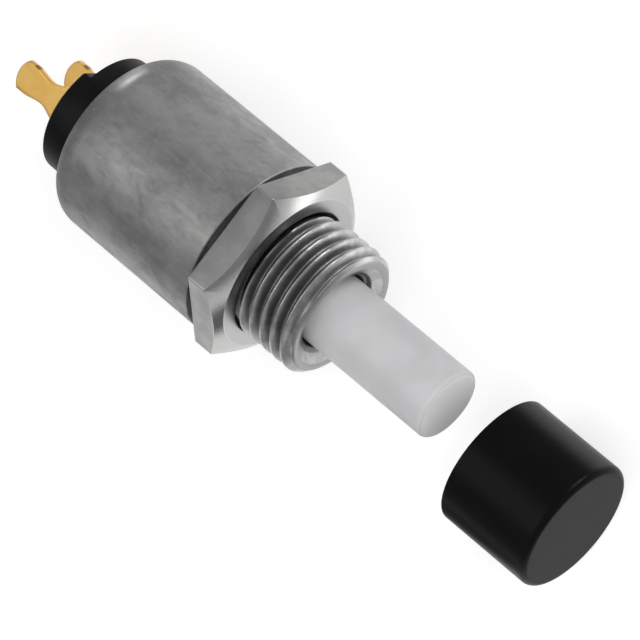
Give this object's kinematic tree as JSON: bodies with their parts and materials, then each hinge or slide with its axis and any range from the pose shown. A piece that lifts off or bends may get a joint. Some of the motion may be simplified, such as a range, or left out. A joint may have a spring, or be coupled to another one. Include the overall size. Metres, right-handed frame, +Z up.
{
  "type": "panel-mount pushbutton switch",
  "caption": "Panel-mount momentary pushbutton switch with a round metal can, threaded bushing, hexagon nut, solder lugs and a push-on cap taken off beside it.",
  "frame": {"origin": "on the switch's axis at the nut's front face, where the bushing's free thread starts", "axes": "+X along the switch's axis, the way the plunger points; +Z up from the surface it lies on, square to the nut's lower flat; +Y to the side"},
  "size_m": [0.0329, 0.0098, 0.0088],
  "materials": {
    "dull_plated_can": "dull mottled plating with fine scratches",
    "plated_bushing": "turned and nickel plated",
    "plated_nut": "nickel plated, satin flats and bright chamfers",
    "white_nylon": "smooth translucent white nylon",
    "spring_steel": "drawn wire and blued strip",
    "contact_silver": "silver plated",
    "sleeve_fibre": "brown insulating fibre",
    "black_base": "black moulded phenolic, satin",
    "gold_lug": "gold plated strip, satin",
    "black_cap": "black moulded plastic, glossy side and matt end"
  },
  "bodies": {
    "switch": {"housing_can": "dull_plated_can", "threaded_bushing": "plated_bushing", "hex_nut": "plated_nut", "return_spring": "spring_steel", "insulating_sleeve": "sleeve_fibre", "base": "black_base", "terminal_upper": "gold_lug", "terminal_lower": "gold_lug", "fixed_contact_upper": "contact_silver", "fixed_contact_lower": "contact_silver", "cap": "black_cap"},
    "plunger": {"plunger": "white_nylon", "retaining_clip": "spring_steel", "contact_spring": "spring_steel"},
    "contact_disc": {"moving_contact": "contact_silver"}
  },
  "joints": [
    {"name": "plunger_press", "type": "slide", "parent": "switch", "child": "plunger", "axis": [-1, 0, 0], "range_m": [0, 0.0015], "stiffness_N_per_m": 1000, "springref_m": -0.0012, "deforming": ["return_spring"]},
    {"name": "contact_float", "type": "slide", "parent": "plunger", "child": "contact_disc", "axis": [1, 0, 0], "range_m": [0, 0.0004], "stiffness_N_per_m": 600, "springref_m": -0.001, "deforming": ["contact_spring"]}
  ]
}
